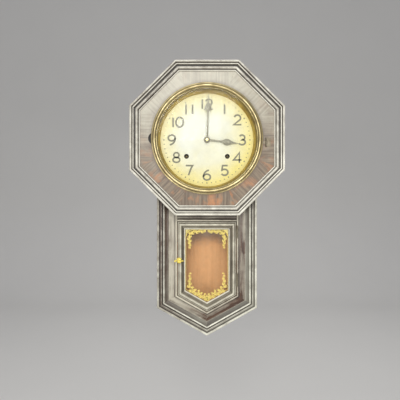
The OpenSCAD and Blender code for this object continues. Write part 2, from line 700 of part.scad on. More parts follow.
module strike_hammer() color([0.5, 0.48, 0.46]) on_face() {
    at(hammer_at) {
        rod(12, front_plate_f + plate_t - end_shake, pivot_r);
        rod(back_plate_f + plate_t + end_shake, front_plate_f - end_shake, 1.4);
        rod(12, 16, 2.4);
    }
    plate(12.8, 15.2) translate(hammer_at) rotate(bearing(hammer_at, hammer_head_at))
        translate([0, -1]) square([50, 2]);
    at(hammer_head_at) rod(9.8, 18.2, 8);
}
module gong() color([0.32, 0.34, 0.4]) on_face() at(gong_at) {
    rod(8, 17, 9);
    plate(12.5, 15) polygon(spiral(8.5, 36, 4, 24, 2));
    rod(17, 19, 4);
}

back_board();
left_side_board();
right_side_board();
top_board();
bottom_boards();
front_stiles();
front_rails();
drop_mouldings();
octagon_panel();
octagon_mouldings();
hanger_plate();
hanger_screws();
sight_ring();
dial_plate();
bezel_ring();
bezel_glass();
bezel_hinge_leaf();
bezel_hinge_screws();
hinge_pins();
door_frame();
door_glass();
door_hinge_case_leaves();
door_hinge_door_leaves();
door_hook();
door_hook_screw();
door_hook_pin();
minute_hand();
hour_hand();
hand_nut();
front_plate();
back_plate();
movement_pillars();
movement_feet();
time_great_wheel();
time_winding_arbor();
time_click();
time_mainspring();
time_second_wheel();
centre_wheel();
time_third_wheel();
escape_wheel();
pallet_anchor();
crutch();
suspension_cock();
suspension_spring();
pendulum_rod();
pendulum_bob();
rating_nut();
cannon_pinion();
minute_wheel();
hour_wheel();
strike_great_wheel();
strike_winding_arbor();
strike_click();
strike_mainspring();
strike_second_wheel();
strike_third_wheel();
strike_fly();
strike_hammer();
gong();
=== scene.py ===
import json
import math
import random

import bmesh
import bpy
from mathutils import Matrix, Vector


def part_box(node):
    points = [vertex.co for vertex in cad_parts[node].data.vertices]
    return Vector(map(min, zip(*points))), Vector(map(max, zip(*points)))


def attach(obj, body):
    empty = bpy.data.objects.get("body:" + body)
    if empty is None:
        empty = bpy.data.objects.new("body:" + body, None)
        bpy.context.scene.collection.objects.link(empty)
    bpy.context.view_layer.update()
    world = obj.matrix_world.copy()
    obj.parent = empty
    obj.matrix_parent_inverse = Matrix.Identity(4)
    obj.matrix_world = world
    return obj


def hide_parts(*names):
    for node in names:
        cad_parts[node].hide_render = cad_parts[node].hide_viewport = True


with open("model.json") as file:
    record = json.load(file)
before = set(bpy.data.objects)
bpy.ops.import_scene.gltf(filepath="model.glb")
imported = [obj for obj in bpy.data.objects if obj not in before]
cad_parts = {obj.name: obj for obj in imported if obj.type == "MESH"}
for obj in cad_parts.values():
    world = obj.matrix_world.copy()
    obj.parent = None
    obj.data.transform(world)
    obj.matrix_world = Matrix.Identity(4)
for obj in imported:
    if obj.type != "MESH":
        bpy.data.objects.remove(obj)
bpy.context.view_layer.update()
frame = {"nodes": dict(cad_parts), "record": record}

MM = 0.001
NODES = frame["nodes"]


def centre(node):
    low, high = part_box(node)
    return (Vector(low) + Vector(high)) / 2


# ---------------- driving places, in metres
DIAL = centre("dial_plate")
DIAL_FRONT = -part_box("dial_plate")[0][1]
FACE_FRONT = -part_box("octagon_panel")[0][1]
PANEL_THICK = 24 * MM
CASE_FRONT = FACE_FRONT - PANEL_THICK
OCTAGON_HALF = (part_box("octagon_mouldings")[1][0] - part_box("octagon_mouldings")[0][0]) / 2
DROP_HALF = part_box("drop_mouldings")[1][0]
DROP_TIP = DIAL.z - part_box("drop_mouldings")[0][2]
DROP_CORNER = DROP_TIP - 57.5 * MM    # where the sides turn into the sloping lower edges
SLOPE = math.atan((DROP_TIP - DROP_CORNER) / DROP_HALF)
MITRE_CORNER = 1 / math.tan((math.pi / 2 + SLOPE) / 2)
MITRE_TIP = math.tan(SLOPE)
DOOR_INSET = DROP_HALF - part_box("door_frame")[1][0]
DOOR_TOP = DIAL.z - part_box("door_frame")[1][2]
DOOR_MIDDLE = centre("door_frame").z
JOINT_GAP = 0.05 * MM    # left open at each end of a mitred length
SHARP = math.radians(35)    # steeper edges are shaded sharp, and eased() rounds them
FRAME_THICK = 12 * MM
BEZEL_RADIUS, SIGHT_RADIUS = 113 * MM, 101.4 * MM    # outside and inside of the bezel


# ---------------- mesh helpers
def add_piece(name, mesh, material, body):
    for polygon in mesh.polygons:
        polygon.use_smooth = True
    mesh.set_sharp_from_angle(angle=SHARP)
    piece = bpy.data.objects.new(name, mesh)
    bpy.context.scene.collection.objects.link(piece)
    mesh.materials.append(material)
    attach(piece, body)
    return piece


def look_of(entry):
    return NODE_LOOKS.get(entry["node"], SLOT_LOOKS[entry["material_slot"]])


def eased(node, width):
    """A copy of a CAD node with its sharp edges rounded a little, standing for that node."""
    entry = next(e for e in frame["record"]["subparts"] if e["node"] == node)
    bodies = frame["record"]["behaviour"]["bodies"]
    body = next(name for name, nodes in bodies.items() if node in nodes)
    shell = bmesh.new()
    shell.from_mesh(NODES[node].data)
    bmesh.ops.remove_doubles(shell, verts=shell.verts, dist=0.001 * MM)
    bmesh.ops.dissolve_limit(shell, angle_limit=math.radians(1.5), verts=shell.verts,
                             edges=shell.edges)
    corners = [edge for edge in shell.edges
               if len(edge.link_faces) == 2 and edge.calc_face_angle() > SHARP]
    bmesh.ops.bevel(shell, geom=corners, offset=width, offset_type="OFFSET", segments=3,
                    profile=0.5, affect="EDGES", clamp_overlap=True)
    mesh = bpy.data.meshes.new(node + "_eased")
    shell.to_mesh(mesh)
    shell.free()
    piece = add_piece(node + "_eased", mesh, look_of(entry), body)
    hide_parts(node)


def on_face(x, front, z):
    """A point given from the dial centre, with its distance forward from the wall."""
    return Vector((DIAL.x + x, -front, DIAL.z + z))


class Builder:
    """Collects the vertices and faces of one piece, with the run of its grain (uv) and how far
    each vertex stands out of its surroundings (relief)."""

    def __init__(self):
        self.vertices, self.faces, self.uv, self.relief = [], [], [], []

    def add(self, vertices, faces, uv=None, relief=None):
        start = len(self.vertices)
        self.vertices += vertices
        self.faces += [tuple(start + i for i in face) for face in faces]
        self.uv += uv or [(v[0], v[2]) for v in vertices]
        self.relief += relief or [0.0] * len(vertices)

    def finish(self, name, material, body):
        mesh = bpy.data.meshes.new(name)
        mesh.from_pydata([tuple(v) for v in self.vertices], [], self.faces)
        mesh.validate()
        layer = mesh.uv_layers.new(name="UVMap")
        for loop in mesh.loops:
            layer.data[loop.index].uv = self.uv[loop.vertex_index]
        attribute = mesh.attributes.new("relief", "FLOAT", "POINT")
        for index, value in enumerate(self.relief):
            attribute.data[index].value = value
        shell = bmesh.new()
        shell.from_mesh(mesh)
        bmesh.ops.recalc_face_normals(shell, faces=shell.faces)
        shell.to_mesh(mesh)
        shell.free()
        return add_piece(name, mesh, material, body)


def ellipse(cx, cy, rx, ry, a0, a1, n=22):
    return [(cx + rx * math.cos(math.radians(a0 + (a1 - a0) * i / n)),
             cy + ry * math.sin(math.radians(a0 + (a1 - a0) * i / n))) for i in range(n + 1)]


def arc(cx, cy, r, a0, a1, n=12):
    return ellipse(cx, cy, r, r, a0, a1, n)


def circle(cx, cy, r, n):
    return [(cx + r * math.cos(2 * math.pi * i / n), cy + r * math.sin(2 * math.pi * i / n))
            for i in range(n)]


def skin(n, count, closed=False):
    """The faces between count rings of n vertices, and from the last to the first if closed."""
    return [(a * n + k, a * n + (k + 1) % n, b * n + (k + 1) % n, b * n + k)
            for a, b in zip(range(count), [*range(1, count)] + [0] * closed) for k in range(n)]


def prism(builder, outline, back, front):
    """A flat outline in x and z, made thick between two front values."""
    n = len(outline)
    vertices = [on_face(x, f, z) for f in (front, back) for x, z in outline]
    faces = [tuple(range(n)), tuple(reversed(range(n, 2 * n)))]
    faces += [(i, n + i, n + (i + 1) % n, (i + 1) % n) for i in range(n)]
    builder.add(vertices, faces)


def ribbon(builder, line, width, back, front, closed=False):
    """A stroke of even or tapering width along a line of points in x and z."""
    points = [Vector(p) for p in line]
    n = len(points)
    left, right = [], []
    for i, p in enumerate(points):
        before = points[i - 1] if i or closed else p
        after = points[(i + 1) % n] if i < n - 1 or closed else p
        into, out = (p - before), (after - p)
        into = into.normalized() if into.length > 0 else out.normalized()
        out = out.normalized() if out.length > 0 else into
        normal_in, normal_out = Vector((-into.y, into.x)), Vector((-out.y, out.x))
        normal = (normal_in + normal_out).normalized()
        half = width(i / (n - 1)) / 2 / max(0.45, normal.dot(normal_out))
        left.append(p + normal * half)
        right.append(p - normal * half)
    vertices = []
    for a, b in zip(left, right):
        vertices += [on_face(a.x, front, a.y), on_face(b.x, front, b.y),
                     on_face(b.x, back, b.y), on_face(a.x, back, a.y)]
    faces = []
    for i in range(n if closed else n - 1):
        here, there = 4 * i, 4 * ((i + 1) % n)
        for k in range(4):
            faces.append((here + k, there + k, there + (k + 1) % 4, here + (k + 1) % 4))
    if not closed:
        faces += [(3, 2, 1, 0), (4 * n - 4, 4 * n - 3, 4 * n - 2, 4 * n - 1)]
    builder.add(vertices, faces)


def lathe(builder, profile, segments, cx=0.0, cz=0.0):
    """A closed profile of (radius, front) turned about a line from the wall to the front."""
    vertices = []
    for i in range(segments):
        a = 2 * math.pi * i / segments
        vertices += [on_face(cx + r * math.cos(a), f, cz + r * math.sin(a)) for r, f in profile]
    builder.add(vertices, skin(len(profile), segments, True))


# ---------------- mouldings
def refine(profile):
    """Adds points near both ends of each long stretch, so that wear stays close to its edge."""
    reach = 2.4 * MM
    points = [profile[0]]
    for (u0, f0), (u1, f1) in zip(profile, profile[1:]):
        length = math.dist((u0, f0), (u1, f1))
        if length > 3 * reach:
            for t in (reach / length, 1 - reach / length):
                points.append((u0 + (u1 - u0) * t, f0 + (f1 - f0) * t))
        points.append((u1, f1))
    return points


def smooth_relief(profile):
    """How far each point of a profile stands out of its surroundings, from -1 to 1."""
    reach, scale, step = 2.6 * MM, 1.0 * MM, 0.3 * MM
    dense = []
    for a, b in zip(profile, profile[1:]):
        count = max(1, round(math.dist(a, b) / step))
        dense += [(a[0] + (b[0] - a[0]) * i / count, a[1] + (b[1] - a[1]) * i / count)
                  for i in range(count)]
    dense.append(profile[-1])
    values = []
    for i, point in enumerate(profile):
        near = [q for q in dense if math.dist(point, q) < reach]
        mean = (sum(q[0] for q in near) / len(near), sum(q[1] for q in near) / len(near))
        before, after = profile[max(0, i - 1)], profile[min(len(profile) - 1, i + 1)]
        along = (after[0] - before[0], after[1] - before[1])
        size = math.hypot(*along) or 1.0
        out = (-along[1] / size, along[0] / size)
        height = (point[0] - mean[0]) * out[0] + (point[1] - mean[1]) * out[1]
        values.append(max(-1.0, min(1.0, height / scale)))
    return values


def moulding_run(builder, profile, length, k0, k1, place, origin=0.0, painted_shade_band=(0, 0, 0)):
    """A length whose ends are cut back by k0 and k1 for each unit in from its outer edge, and
    whose grain is counted from origin. place(s, u, f) gives the point for a distance along the
    run, a distance in from the outer edge and a front value. The last argument says from where to
    where a band of painted shade lies on it, as distances in, and how much."""
    steps = 28
    profile = refine(profile)
    near, far, amount = painted_shade_band
    relief = [r - amount if near < u < far else r
              for r, (u, f) in zip(smooth_relief(profile), profile)]
    n = len(profile)
    travel = [0.0]
    for a, b in zip(profile, profile[1:]):
        travel.append(travel[-1] + math.dist(a, b))
    offset = random.random() * 3
    vertices, uv, lift = [], [], []
    for i in range(steps + 1):
        t = i / steps
        for k, (u, f) in enumerate(profile):
            low, high = JOINT_GAP + k0 * u, length - JOINT_GAP - k1 * u
            along = low + (high - low) * t
            vertices.append(place(along, u, f))
            uv.append((along + origin + offset, travel[k] + offset))
            lift.append(relief[k])
    faces = skin(n, steps + 1)
    faces += [tuple(reversed(range(n))), tuple(range(steps * n, steps * n + n))]
    builder.add(vertices, faces, uv, lift)


def drop_corner(inset):
    """Where a side of the drop, moved in by inset, meets its sloping lower edge."""
    return DROP_HALF - inset, -DROP_CORNER + inset * MITRE_CORNER


def upright(builder, profile, inset, top, k0, side, painted_shade_band=(0, 0, 0)):
    x, low = drop_corner(inset)
    moulding_run(builder, profile, top - low, k0, MITRE_CORNER,
                 lambda s, u, f: on_face(side * (x - u), f, top - s), painted_shade_band=painted_shade_band)


def lower_edge(builder, profile, inset, side, painted_shade_band=(0, 0, 0)):
    x, low = drop_corner(inset)
    length = x / math.cos(SLOPE)
    moulding_run(builder, profile, length, MITRE_CORNER, MITRE_TIP,
                 lambda s, u, f: on_face(
                     side * (x - s * math.cos(SLOPE) - u * math.sin(SLOPE)), f,
                     low - s * math.sin(SLOPE) + u * math.cos(SLOPE)), painted_shade_band=painted_shade_band)


def octagon_profile():
    points = [(0, CASE_FRONT), (0, FACE_FRONT + 9.2 * MM)]
    points += [(x * MM, FACE_FRONT + y * MM) for x, y in
               arc(2.4, 9.6, 2.38, 180, 0) + [(4.95, 7.9), (5.4, 7.9)]
               + arc(6.85, 8.0, 1.35, 175, 5) + [(8.3, 4.1), (8.8, 3.6), (10.6, 3.5)]
               + arc(13.7, 3.4, 2.78, 178, 2, 14) + [(16.7, 1.9), (17.2, 1.8)]
               + arc(18.6, 1.7, 1.3, 175, 5) + [(20, 0)]]
    return points + [(20 * MM, CASE_FRONT)]


def drop_profile():
    shapes = ([(0, 5)] + arc(2.5, 5.5, 2.48, 180, 0)
              + [(5.4, 4.8), (9.2, 4.4), (10.3, 4.2), (10.7, 2.7), (11.9, 2.6)]
              + arc(14.2, 3.2, 1.9, 178, 2)
              + [(16.6 + 7.4 * i / 8, 0.6 + 2.6 * (1 - i / 8) ** 2) for i in range(9)])
    return ([(0, CASE_FRONT)] + [(x * MM, CASE_FRONT + y * MM) for x, y in shapes]
            + [(24 * MM, CASE_FRONT)])


def stile_profile(width):
    """A flat member whose inner edge carries a small bead; width is in metres."""
    w = width / MM
    shapes = [(0, 0), (w - 4.3, 0)] + arc(w - 2, 0.0, 1.9, 172, 0) + [(w, -1)]
    return ([(0, CASE_FRONT - FRAME_THICK)] + [(x * MM, CASE_FRONT + y * MM) for x, y in shapes]
            + [(width, CASE_FRONT - FRAME_THICK)])


def door_profile():
    shapes = ([(0, 70), (0, 81.1), (0.4, 81.45), (2.3, 81.4)] + arc(5.2, 81.6, 2.6, 176, 0)
              + [(8.4 + 6.6 * i / 8, 77.4 + 3.4 * (1 - i / 8) ** 2) for i in range(9)]
              + [(15.2, 77.0), (15.2, 75.3), (10.2, 75.2), (10.2, 70)])
    return [(x * MM, y * MM) for x, y in shapes]


# ---------------- node helpers
class Shader:
    """A material with one Principled shader and short calls for the nodes that feed it."""

    def __init__(self, name):
        self.material = bpy.data.materials.new(name)
        self.material.use_nodes = True
        self.nodes = self.material.node_tree.nodes
        self.links = self.material.node_tree.links
        self.nodes.clear()
        self.surface = self.nodes.new("ShaderNodeBsdfPrincipled")
        output = self.nodes.new("ShaderNodeOutputMaterial")
        self.links.new(self.surface.outputs[0], output.inputs[0])

    def put(self, socket, value):
        if isinstance(value, bpy.types.NodeSocket):
            self.links.new(value, socket)
        elif isinstance(value, tuple) and len(value) == 3 and len(socket.default_value) == 4:
            socket.default_value = (*value, 1)
        else:
            socket.default_value = value

    def node(self, kind, inputs, **settings):
        made = self.nodes.new(kind)
        for key, value in settings.items():
            setattr(made, key, value)
        for key, value in inputs.items():
            self.put(made.inputs[key], value)
        return made

    def set(self, **inputs):
        for key, value in inputs.items():
            self.put(self.surface.inputs[key.replace("_", " ")], value)
        return self

    def position(self):
        return self.node("ShaderNodeTexCoord", {}).outputs["Object"]

    def uv(self):
        return self.node("ShaderNodeUVMap", {}, uv_map="UVMap").outputs[0]

    def relief(self):
        return self.node("ShaderNodeAttribute", {}, attribute_name="relief").outputs["Fac"]

    def scaled(self, vector, scale):
        return self.node("ShaderNodeVectorMath", {0: vector, 1: scale},
                         operation="MULTIPLY").outputs[0]

    def noise(self, vector, scale, detail, roughness=0.55, distortion=0.0):
        return self.node("ShaderNodeTexNoise", {"Vector": vector, "Scale": scale, "Detail": detail,
                         "Roughness": roughness, "Distortion": distortion}).outputs["Fac"]

    def math(self, operation, a, b=0.0, clamp=False):
        return self.node("ShaderNodeMath", {0: a, 1: b}, operation=operation,
                         use_clamp=clamp).outputs[0]

    def plus(self, a, b):
        return self.math("ADD", a, b)

    def minus(self, a, b):
        return self.math("SUBTRACT", a, b)

    def times(self, a, b, clamp=False):
        return self.math("MULTIPLY", a, b, clamp)

    def rescale(self, value, low, high, out_low=0.0, out_high=1.0):
        return self.node("ShaderNodeMapRange", {"Value": value, "From Min": low, "From Max": high,
                         "To Min": out_low, "To Max": out_high}).outputs[0]

    def mix(self, factor, a, b):
        return self.node("ShaderNodeMix", {0: factor, 6: a, 7: b}, data_type="RGBA").outputs[2]

    def bump(self, height, distance, strength):
        return self.node("ShaderNodeBump", {"Height": height, "Distance": distance,
                         "Strength": strength}).outputs[0]

    def split(self, vector):
        return self.node("ShaderNodeSeparateXYZ", {0: vector}).outputs

    def join(self, x, y, z):
        return self.node("ShaderNodeCombineXYZ", {0: x, 1: y, 2: z}).outputs[0]

    def around_dial(self):
        """Across, towards the wall, up from the dial's centre, and the distance from its axis."""
        x, y, z = self.split(self.position())
        up = self.minus(z, DIAL.z)
        radius = self.math("SQRT", self.plus(self.times(x, x), self.times(up, up)))
        return x, y, up, radius


# ---------------- materials
def varnished_wood(name, dark, middle, bloom_and_sheen, worn, grain_uv=True, bare=0.3, blotch=0.2,
                   left=0.0, upper=0.0, around=0.0, flank=0.0, lining=0.0):
    """Old varnish over close-grained wood: streaks along the grain, a grey bloom that has rubbed
    off in patches, its paleness partly dust and partly painted sheen, pale worn crests that are
    partly painted highlight, and darker hollows that are partly dirt and partly painted shade. The
    bloom is thicker on the left by the rate left, and above the height around by the rate upper:
    both are painted light, the left side and the top made paler or darker for how the lamps fall.
    It is thin behind the front value flank, on the sides and the back. Within lining of the middle
    the wood is bare."""
    s = Shader(name)
    position = s.position()
    along = s.scaled(s.uv(), (9, 330, 1)) if grain_uv else s.scaled(position, (300, 300, 9))
    pores = s.scaled(s.uv(), (38, 2100, 1)) if grain_uv else s.scaled(position, (1700, 1700, 45))
    smear = s.scaled(s.uv(), (13, 75, 1)) if grain_uv else s.scaled(position, (75, 75, 13))
    streak = s.noise(along, 1.0, 5, 0.6, 0.35)
    fine = s.noise(pores, 1.0, 3, 0.7)
    dust = s.noise(smear, 1.0, 5, 0.62, 0.5)
    patch = s.noise(position, 55.0, 5, 0.65, 0.4)
    wood = s.mix(s.rescale(streak, 0.34, 0.66), dark, middle)
    wood = s.mix(s.rescale(fine, 0.46, 0.7, 0, 0.5), wood, dark)
    x, y, z = s.split(position)
    cover = s.plus(s.rescale(dust, 0.3, 0.62, 0.5 - blotch, 0.5 + blotch),
                   s.rescale(patch, 0.3, 0.7, 0.1 - bare, 0.5 - bare))
    # Painted light: the bloom thicker or thinner towards the left, so that side reads paler or
    # darker as if lit from there
    cover = s.minus(cover, s.times(x, left))
    # Painted light: paler or darker above the height around, as sheen from the lamps above
    rise = s.math("MAXIMUM", s.math("MINIMUM", s.minus(z, around), 0.12), -0.12)
    cover = s.plus(cover, s.times(rise, upper))
    behind = s.rescale(y, -flank, 3 * MM - flank)
    cover = s.minus(cover, s.times(behind, 0.5))
    cover = s.times(cover, s.rescale(streak, 0.3, 0.6, 0.6, 1.0), True)
    # The pale bloom colour: partly dust, partly painted sheen
    colour = s.mix(cover, wood, bloom_and_sheen)
    relief = s.relief()
    # Pale worn crests, partly wear and partly painted highlight; darker hollows, partly dirt and
    # partly painted shade
    edge = s.plus(relief, s.rescale(patch, 0.3, 0.7, -0.2, 0.12))
    wear_and_highlight = s.rescale(edge, 0.1, 0.6)
    dirt_and_shade = s.rescale(relief, -0.06, -0.5)
    colour = s.mix(s.times(wear_and_highlight, s.rescale(cover, 0.1, 0.9, 0.55, 0.95)), colour, worn)
    colour = s.mix(s.times(dirt_and_shade, s.rescale(cover, 0.1, 0.9, 0.95, 0.76)), colour,
                   tuple(c * 0.3 for c in dark))
    if lining:
        inside = s.math("LESS_THAN", s.math("ABSOLUTE", x), lining)
        colour = s.mix(inside, colour, s.mix(s.rescale(streak, 0.3, 0.7), BARE_PALE, BARE_DARK))
    dull = s.times(s.math("MAXIMUM", dirt_and_shade, behind), 0.3)
    rough = s.plus(s.rescale(cover, 0.0, 1.0, 0.26, 0.44), dull)
    height = s.plus(s.times(fine, 0.15), streak)
    return s.set(Base_Color=colour, Roughness=rough, Specular_IOR_Level=0.5, Coat_Weight=0.15,
                 Coat_Roughness=0.3, Normal=s.bump(height, 0.0001, 0.35)).material


def veneer(name):
    """Cross-banded veneer: the grain runs outward from the dial in eight mitred fields."""
    s = Shader(name)
    x, y, up, radius = s.around_dial()
    angle = s.math("ARCTAN2", up, x)
    field = s.math("FLOOR", s.plus(s.math("DIVIDE", angle, math.pi / 4), 0.5))
    turn = s.minus(angle, s.times(field, math.pi / 4))
    outward = s.times(radius, s.math("COSINE", turn))
    across = s.times(radius, s.math("SINE", turn))
    shift = s.times(field, 3.7)
    streak = s.noise(s.join(s.times(outward, 9), s.times(across, 260), shift), 1.0, 6, 0.66, 0.5)
    fine = s.noise(s.join(s.times(outward, 40), s.times(across, 1300), shift), 1.0, 3, 0.7)
    bloom_and_sheen = s.noise(s.position(), 21.0, 5, 0.62, 0.4)
    red = s.noise(s.join(s.times(outward, 26), s.times(across, 44), shift), 1.0, 3, 0.6, 0.2)
    # Painted light: the upper face paler, as painted sheen from the lamps above, and the lower
    # face darker, as painted shade
    low = s.rescale(up, 0.03, -0.12)
    high = s.rescale(up, -0.02, 0.13)
    wood = s.mix(s.rescale(streak, 0.38, 0.62), VENEER_DARK, VENEER_MIDDLE)
    wood = s.mix(s.rescale(fine, 0.5, 0.7, 0, 0.5), wood, VENEER_DARK)
    sheen_and_shade = s.minus(s.times(high, 0.45), s.times(low, 1.05))
    cover = s.plus(s.rescale(bloom_and_sheen, 0.2, 0.76), sheen_and_shade)
    cover = s.times(cover, s.rescale(streak, 0.3, 0.6, 0.62, 0.96), True)
    cover = s.times(cover, s.rescale(fine, 0.4, 0.7, 1.0, 0.86), True)
    # The pale bloom colour: partly dust, partly painted sheen
    colour = s.mix(cover, wood, VENEER_PALE)
    reddish = s.times(s.rescale(red, 0.51, 0.68), s.rescale(low, 0.1, 1.0, 0.05, 0.72))
    reddish = s.times(reddish, s.rescale(streak, 0.3, 0.62, 1.0, 0.62))
    colour = s.mix(reddish, colour, VENEER_RED)
    # Painted shade: a dark ring on the face round the bezel's edge
    shade_round_bezel = s.rescale(radius, BEZEL_RADIUS + 6.5 * MM, BEZEL_RADIUS - 0.5 * MM, 0.0, 0.5)
    colour = s.mix(shade_round_bezel, colour, VENEER_DARK)
    # Painted shade: nearly black behind the face and in the finger recess. Plain wood on the
    # panel's back
    shade_behind_face = s.math("GREATER_THAN", y, -(FACE_FRONT - 0.8 * MM))
    colour = s.mix(shade_behind_face, colour, (0.008, 0.006, 0.004))
    rear = s.math("GREATER_THAN", y, -(FACE_FRONT - PANEL_THICK / 2))
    colour = s.mix(rear, colour, s.mix(s.rescale(streak, 0.34, 0.66), VENEER_DARK, VENEER_MIDDLE))
    rough = s.plus(s.rescale(cover, 0.0, 1.0, 0.34, 0.48), s.times(shade_behind_face, 0.5))
    return s.set(Base_Color=colour, Roughness=rough, Specular_IOR_Level=0.5, Coat_Weight=0.2,
                 Coat_Roughness=0.25, Normal=s.bump(s.plus(streak, fine), 0.0001, 0.5)).material


def back_board_wood(name, dark, pale, shadow_colour, outside):
    """Thin board with a fine upright grain, greyer below the movement as painted shadow, and dull
    outside.
    """
    s = Shader(name)
    position = s.position()
    warp = s.noise(s.scaled(position, (14, 14, 3)), 1.0, 3, 0.5)
    x, y, z = s.split(position)
    wavy = s.plus(s.times(x, 150), s.times(warp, 4))
    rings = s.noise(s.join(wavy, y, s.times(z, 5)), 1.0, 4, 0.6)
    fine = s.noise(s.scaled(position, (900, 900, 20)), 1.0, 4, 0.65)
    blotch = s.noise(position, 22.0, 4, 0.6)
    colour = s.mix(s.rescale(rings, 0.3, 0.7, 0.0, 0.55), pale, dark)
    colour = s.mix(s.rescale(fine, 0.45, 0.75, 0, 0.35), colour, dark)
    # Painted shadow: greyer towards the top of the chamber, below the movement
    top = s.plus(z, s.rescale(blotch, 0.3, 0.7, -0.012, 0.012))
    painted_top_shadow = s.rescale(top, DIAL.z - DOOR_TOP - 55 * MM, DIAL.z - DOOR_TOP - 28 * MM, 0.0, 0.75)
    colour = s.mix(painted_top_shadow, colour, shadow_colour)
    colour = s.mix(s.math("GREATER_THAN", y, -0.4 * MM), colour,
                   s.mix(s.rescale(rings, 0.35, 0.65), outside, tuple(c * 0.55 for c in outside)))
    return s.set(Base_Color=colour, Roughness=s.rescale(fine, 0.3, 0.7, 0.5, 0.68),
                 Normal=s.bump(fine, 0.00015, 0.5)).material


def metal(name, colour, tarnish, rough, turned=False, shade_under_bezel=0.0):
    """Metal with tarnish in patches, fine scratches, and lathe lines where it is turned. It can be
    given painted shade where the bezel closes over the sight ring: darker towards the bezel."""
    s = Shader(name)
    position = s.position()
    patch = s.noise(position, 60.0, 5, 0.62, 0.3)
    spots = s.noise(position, 420.0, 3, 0.6)
    if turned:
        _, y, _, radius = s.around_dial()
        lines = s.noise(s.join(s.times(radius, 3200), s.times(y, 3200), 0.0), 1.0, 2, 0.5)
    else:
        lines = s.noise(s.scaled(position, (2600, 2600, 160)), 1.0, 2, 0.6)
    base = s.mix(s.rescale(patch, 0.4, 0.72, 0, 0.85), colour, tarnish)
    base = s.mix(s.rescale(spots, 0.62, 0.78, 0, 0.5), base, tarnish)
    # Painted shade: darker towards the outer edge, where the bezel stands over the sight ring
    if shade_under_bezel:
        under_bezel_mask = s.rescale(radius, SIGHT_RADIUS - 3.4 * MM, SIGHT_RADIUS + 0.1 * MM, 0, shade_under_bezel)
        base = s.mix(under_bezel_mask, base, (0.05, 0.03, 0.008))
    roughness = s.plus(s.rescale(patch, 0.3, 0.75, rough - 0.05, rough + 0.16),
                       s.rescale(lines, 0.3, 0.7, -0.03, 0.03))
    return s.set(Base_Color=base, Metallic=1.0, Roughness=roughness,
                 Normal=s.bump(lines, 0.00003, 0.5)).material


def dial_paint(name):
    """Cream dial paint, yellowed towards the rim and the lower right, with faint specks."""
    s = Shader(name)
    x, _, up, radius = s.around_dial()
    cloud = s.noise(s.position(), 24.0, 5, 0.6, 0.5)
    speck = s.noise(s.position(), 520.0, 3, 0.6)
    stain = s.plus(s.rescale(radius, 0.05, 0.096, 0.0, 1.5),
                   s.rescale(cloud, 0.3, 0.7, -0.25, 0.25))
    side = s.rescale(s.minus(s.times(x, 0.5), s.times(up, 0.6)), -0.02, 0.09)
    yellow = s.times(s.plus(stain, side), 0.5, True)
    colour = s.mix(yellow, DIAL_PALE, DIAL_YELLOW)
    colour = s.mix(s.rescale(speck, 0.68, 0.8, 0, 0.35), colour, (0.42, 0.36, 0.2))
    # Painted shade: darker at the rim, where the sight ring stands over the dial
    shade = s.rescale(radius, 0.088, 0.1)
    colour = s.mix(s.times(shade, 0.5), colour, (0.5, 0.42, 0.22))
    return s.set(Base_Color=colour, Roughness=s.rescale(cloud, 0.3, 0.7, 0.42, 0.6),
                 Normal=s.bump(s.noise(s.position(), 900.0, 3), 0.00002, 0.4)).material


def paint(name, colour, worn, rough, scale, metallic=0.0):
    """Thin paint or leaf that has rubbed to a second colour in places."""
    s = Shader(name)
    patch = s.noise(s.position(), scale, 5, 0.65, 0.5)
    fine = s.noise(s.position(), scale * 6, 3, 0.6)
    base = s.mix(s.rescale(patch, 0.52, 0.7), colour, worn)
    return s.set(Base_Color=base, Metallic=metallic,
                 Roughness=s.rescale(fine, 0.3, 0.7, rough - 0.1, rough + 0.1),
                 Normal=s.bump(fine, 0.00003, 0.5)).material


def glass(name):
    """Old flat glass: mostly clear, with a faint ripple and a little dust."""
    s = Shader(name)
    dust = s.noise(s.position(), 90.0, 5, 0.65)
    ripple = s.noise(s.position(), 14.0, 2, 0.5)
    return s.set(Base_Color=(0.1, 0.11, 0.1), Alpha=s.rescale(dust, 0.4, 0.8, 0.05, 0.1),
                 Roughness=s.rescale(dust, 0.3, 0.8, 0.02, 0.12), IOR=1.5,
                 Normal=s.bump(ripple, 0.0004, 0.3)).material


def studio(name, colour):
    """Matt paper for the floor, a little cloudy."""
    s = Shader(name)
    soft = s.noise(s.position(), 3.0, 3, 0.5)
    shade = tuple(c * 0.96 for c in colour)
    return s.set(Base_Color=s.mix(soft, colour, shade), Roughness=0.85).material


VENEER_DARK = (0.1, 0.066, 0.04)
VENEER_MIDDLE = (0.23, 0.175, 0.115)
VENEER_PALE = (0.45, 0.43, 0.345)
VENEER_RED = (0.62, 0.23, 0.06)
BARE_DARK = (0.78, 0.36, 0.13)
BARE_PALE = (0.98, 0.54, 0.24)
DIAL_PALE = (0.86, 0.875, 0.75)
DIAL_YELLOW = (0.92, 0.81, 0.27)

